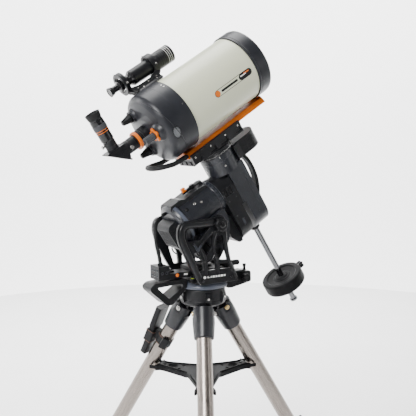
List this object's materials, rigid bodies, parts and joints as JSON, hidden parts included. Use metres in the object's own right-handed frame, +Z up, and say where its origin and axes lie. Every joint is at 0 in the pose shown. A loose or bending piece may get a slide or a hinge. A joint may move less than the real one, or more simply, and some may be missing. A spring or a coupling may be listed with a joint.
{
  "type": "schmidt cassegrain telescope",
  "caption": "Catadioptric telescope with a fat ivory tube, finder, star diagonal and eyepiece on a jointed equatorial mount with counterweight, standing on a folding steel tripod.",
  "frame": {"origin": "on the ground, at the centre of the footprint's bounding box", "axes": "+X the way the tube points (towards the pole), +Z up, +Y to the side where the finder sits"},
  "size_m": [0.8716, 0.82, 1.5374],
  "materials": {
    "black_paint": "satin black powder coat over cast aluminium",
    "charcoal_paint": "satin charcoal paint over cast aluminium",
    "ivory_paint": "smooth satin ivory paint",
    "orange_anodised": "orange anodised aluminium, satin",
    "steel": "brushed stainless steel",
    "chrome": "polished chrome plate",
    "grey_plastic": "matte moulded plastic",
    "black_plastic": "matte moulded plastic",
    "black_rubber": "matte rubber",
    "cast_iron": "dark matte paint over iron",
    "glass": "coated optical glass",
    "mirror": "first-surface aluminium mirror"
  },
  "bodies": {
    "tripod": {"tripod_head": "black_paint", "centre_rod": "steel"},
    "spreader": {"spreader_tray": "black_plastic"},
    "spreader_nut": {"spreader_nut": "black_plastic"},
    "azimuth": {"azimuth_base": "black_paint", "port_box": "black_plastic", "side_plate_east": "black_paint", "side_plate_west": "black_paint", "altitude_axle": "black_paint", "rear_carry_handle": "black_plastic", "cable_conduit": "black_rubber"},
    "azimuth_knob_east": {"azimuth_knob_east": "black_plastic"},
    "azimuth_knob_west": {"azimuth_knob_west": "black_plastic"},
    "altitude_adjuster": {"altitude_adjuster": "black_plastic"},
    "altitude": {"ra_housing": "black_paint", "ra_rear_cover": "grey_plastic"},
    "ra_clutch": {"ra_clutch_lever": "orange_anodised"},
    "ra": {"ra_shaft": "steel", "ra_head": "black_paint", "dec_housing": "black_paint", "dec_motor_cover": "black_plastic", "dec_carry_handle": "black_plastic", "counterweight_shaft": "chrome"},
    "counterweight": {"counterweight": "cast_iron"},
    "counterweight_knob": {"counterweight_knob": "black_plastic"},
    "dec": {"dec_shaft": "black_paint", "saddle": "black_paint"},
    "saddle_knob_1": {"saddle_knob_1": "black_plastic"},
    "saddle_knob_2": {"saddle_knob_2": "black_plastic"},
    "ota": {"optical_tube": "ivory_paint", "front_cell": "charcoal_paint", "corrector_plate": "glass", "secondary_mirror_holder": "black_plastic", "baffle_tube": "black_paint", "rear_cell": "charcoal_paint", "dovetail_bar": "orange_anodised", "tube_carry_handle": "black_plastic", "visual_back": "black_paint", "finder_bracket": "black_paint", "finder_scope": "black_paint"},
    "mirror": {"primary_mirror": "mirror"},
    "locking_ring": {"locking_ring": "orange_anodised"},
    "diagonal": {"star_diagonal": "black_plastic", "eyepiece": "black_plastic"},
    "focus_knob": {"focus_knob": "grey_plastic"},
    "mirror_lock_upper": {"mirror_lock_upper": "grey_plastic"},
    "mirror_lock_lower": {"mirror_lock_lower": "grey_plastic"},
    "leg_north": {"leg_sleeve_north": "black_plastic", "leg_tube_north": "steel", "leg_clamp_north": "black_plastic"},
    "leg_extension_north": {"leg_lower_north": "steel"},
    "leg_east": {"leg_sleeve_east": "black_plastic", "leg_tube_east": "steel", "leg_clamp_east": "black_plastic", "hand_control": "black_plastic"},
    "leg_extension_east": {"leg_lower_east": "steel"},
    "leg_west": {"leg_sleeve_west": "black_plastic", "leg_tube_west": "steel", "leg_clamp_west": "black_plastic"},
    "leg_extension_west": {"leg_lower_west": "steel"}
  },
  "joints": [
    {"name": "leg_fold_north", "type": "hinge", "parent": "tripod", "child": "leg_north", "pos_m": [0.04055, 0, 0.6186], "axis": [0, 1, 0], "range_deg": [0, 10]},
    {"name": "leg_extend_north", "type": "slide", "parent": "leg_north", "child": "leg_extension_north", "axis": [0.525, 0, -0.8511], "range_m": [0, 0.35]},
    {"name": "leg_fold_east", "type": "hinge", "parent": "tripod", "child": "leg_east", "pos_m": [-0.07045, 0.06409, 0.6186], "axis": [-0.866, -0.5, 0], "range_deg": [0, 10]},
    {"name": "leg_extend_east", "type": "slide", "parent": "leg_east", "child": "leg_extension_east", "axis": [-0.2625, 0.4547, -0.8511], "range_m": [0, 0.35]},
    {"name": "leg_fold_west", "type": "hinge", "parent": "tripod", "child": "leg_west", "pos_m": [-0.07045, -0.06409, 0.6186], "axis": [0.866, -0.5, 0], "range_deg": [0, 10]},
    {"name": "leg_extend_west", "type": "slide", "parent": "leg_west", "child": "leg_extension_west", "axis": [-0.2625, -0.4547, -0.8511], "range_m": [0, 0.35]},
    {"name": "spreader_slide", "type": "slide", "parent": "tripod", "child": "spreader", "axis": [0, 0, -1], "range_m": [0, 0.1146]},
    {"name": "spreader_nut_turn", "type": "hinge", "parent": "spreader", "child": "spreader_nut", "pos_m": [-0.03345, 0, 0.366], "axis": [0, 0, 1], "continuous": true},
    {"name": "azimuth_turn", "type": "hinge", "parent": "tripod", "child": "azimuth", "pos_m": [-0.03345, 0, 0.7], "axis": [0, 0, 1], "range_deg": [-7, 7]},
    {"name": "azimuth_knob_east_turn", "type": "hinge", "parent": "azimuth", "child": "azimuth_knob_east", "pos_m": [0.11655, 0, 0.712], "axis": [0, 1, 0], "range_deg": [-5300, 5300]},
    {"name": "azimuth_knob_west_turn", "type": "hinge", "parent": "azimuth", "child": "azimuth_knob_west", "pos_m": [0.11655, 0, 0.712], "axis": [0, 1, 0], "range_deg": [-5300, 5300]},
    {"name": "altitude_tilt", "type": "hinge", "parent": "azimuth", "child": "altitude", "pos_m": [-0.02345, 0, 0.912], "axis": [0, -1, 0], "range_deg": [-10, 25], "deforming": ["cable_conduit"]},
    {"name": "altitude_adjuster_turn", "type": "hinge", "parent": "azimuth", "child": "altitude_adjuster", "pos_m": [0, 0, 0.761], "axis": [1, 0, 0], "range_deg": [-4300, 10600]},
    {"name": "ra_turn", "type": "hinge", "parent": "altitude", "child": "ra", "pos_m": [0.08005, 0, 1.0397], "axis": [0.8475, 0, 0.5308], "range_deg": [-95, 95]},
    {"name": "ra_clutch_turn", "type": "hinge", "parent": "altitude", "child": "ra_clutch", "pos_m": [-0.03436, 0, 0.96804], "axis": [-0.5308, 0, 0.8475], "range_deg": [0, 60]},
    {"name": "counterweight_slide", "type": "slide", "parent": "ra", "child": "counterweight", "axis": [-0.5308, 0, 0.8475], "range_m": [-0.06, 0.085]},
    {"name": "counterweight_knob_turn", "type": "hinge", "parent": "counterweight", "child": "counterweight_knob", "pos_m": [0.30803, 0, 0.6757], "axis": [0.8475, 0, 0.5308], "range_deg": [0, 720]},
    {"name": "dec_turn", "type": "hinge", "parent": "ra", "child": "dec", "pos_m": [0.08005, 0, 1.0397], "axis": [-0.5308, 0, 0.8475], "range_deg": [-175, 175]},
    {"name": "saddle_knob_1_turn", "type": "hinge", "parent": "dec", "child": "saddle_knob_1", "pos_m": [-0.05307, 0.05, 1.13921], "axis": [0, 1, 0], "range_deg": [0, 720]},
    {"name": "saddle_knob_2_turn", "type": "hinge", "parent": "dec", "child": "saddle_knob_2", "pos_m": [0.04439, 0.05, 1.20026], "axis": [0, 1, 0], "range_deg": [0, 720]},
    {"name": "tube_balance_slide", "type": "slide", "parent": "dec", "child": "ota", "axis": [0.8475, 0, 0.5308], "range_m": [-0.06, 0.015]},
    {"name": "mirror_focus", "type": "slide", "parent": "ota", "child": "mirror", "axis": [0.8475, 0, 0.5308], "range_m": [-0.0075, 0.0075]},
    {"name": "focus_turn", "type": "hinge", "parent": "ota", "child": "focus_knob", "pos_m": [-0.08185, -0.07, 1.29818], "axis": [0.8475, 0, 0.5308], "range_deg": [-3610, 3610]},
    {"name": "mirror_lock_upper_turn", "type": "hinge", "parent": "ota", "child": "mirror_lock_upper", "pos_m": [-0.11403, 0.035, 1.34956], "axis": [0.8475, 0, 0.5308], "range_deg": [0, 1080]},
    {"name": "mirror_lock_lower_turn", "type": "hinge", "parent": "ota", "child": "mirror_lock_lower", "pos_m": [-0.04967, 0.035, 1.24681], "axis": [0.8475, 0, 0.5308], "range_deg": [0, 1080]},
    {"name": "locking_ring_turn", "type": "hinge", "parent": "ota", "child": "locking_ring", "pos_m": [-0.08185, 0, 1.29818], "axis": [0.8475, 0, 0.5308], "continuous": true},
    {"name": "diagonal_turn", "type": "hinge", "parent": "ota", "child": "diagonal", "pos_m": [-0.08185, 0, 1.29818], "axis": [0.8475, 0, 0.5308], "continuous": true}
  ],
  "couplings": [
    {"joint": "leg_fold_east", "follows": "leg_fold_north", "ratio": 1},
    {"joint": "leg_fold_west", "follows": "leg_fold_north", "ratio": 1},
    {"joint": "spreader_slide", "follows": "leg_fold_north", "m_per_rad": 0.656},
    {"joint": "azimuth_knob_east_turn", "follows": "azimuth_turn", "ratio": 754},
    {"joint": "azimuth_knob_west_turn", "follows": "azimuth_turn", "ratio": 754},
    {"joint": "altitude_adjuster_turn", "follows": "altitude_tilt", "ratio": 419},
    {"joint": "focus_turn", "follows": "mirror_focus", "rad_per_m": 8377.6}
  ]
}
